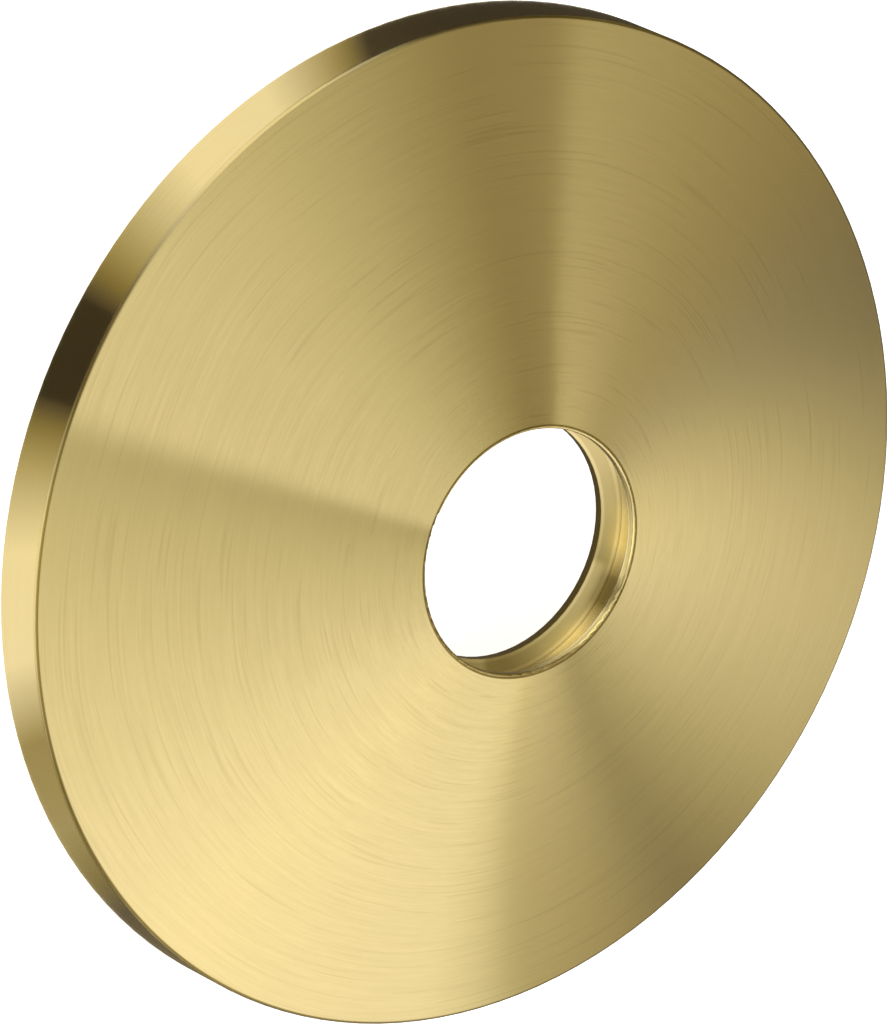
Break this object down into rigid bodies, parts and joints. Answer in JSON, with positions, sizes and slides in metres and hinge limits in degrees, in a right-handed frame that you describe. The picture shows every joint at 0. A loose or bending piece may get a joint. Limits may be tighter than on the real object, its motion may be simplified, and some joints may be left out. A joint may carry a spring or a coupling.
{
  "type": "pipe rosette",
  "caption": "Round brushed brass pipe rosette: shallow conical face, short straight rim, central bore with an inner groove, hollow at the back.",
  "frame": {"origin": "centre of the rear face, which lies on the wall, or on the floor when the rosette lies down", "axes": "+Z along the axis of the pipe, out of the front face; X and Y are free, because the rosette is round"},
  "size_m": [0.064, 0.064, 0.0097],
  "materials": {
    "brushed_brass": "brushed in circles round the axis"
  },
  "bodies": {
    "root": {"rosette": "brushed_brass"}
  },
  "joints": []
}
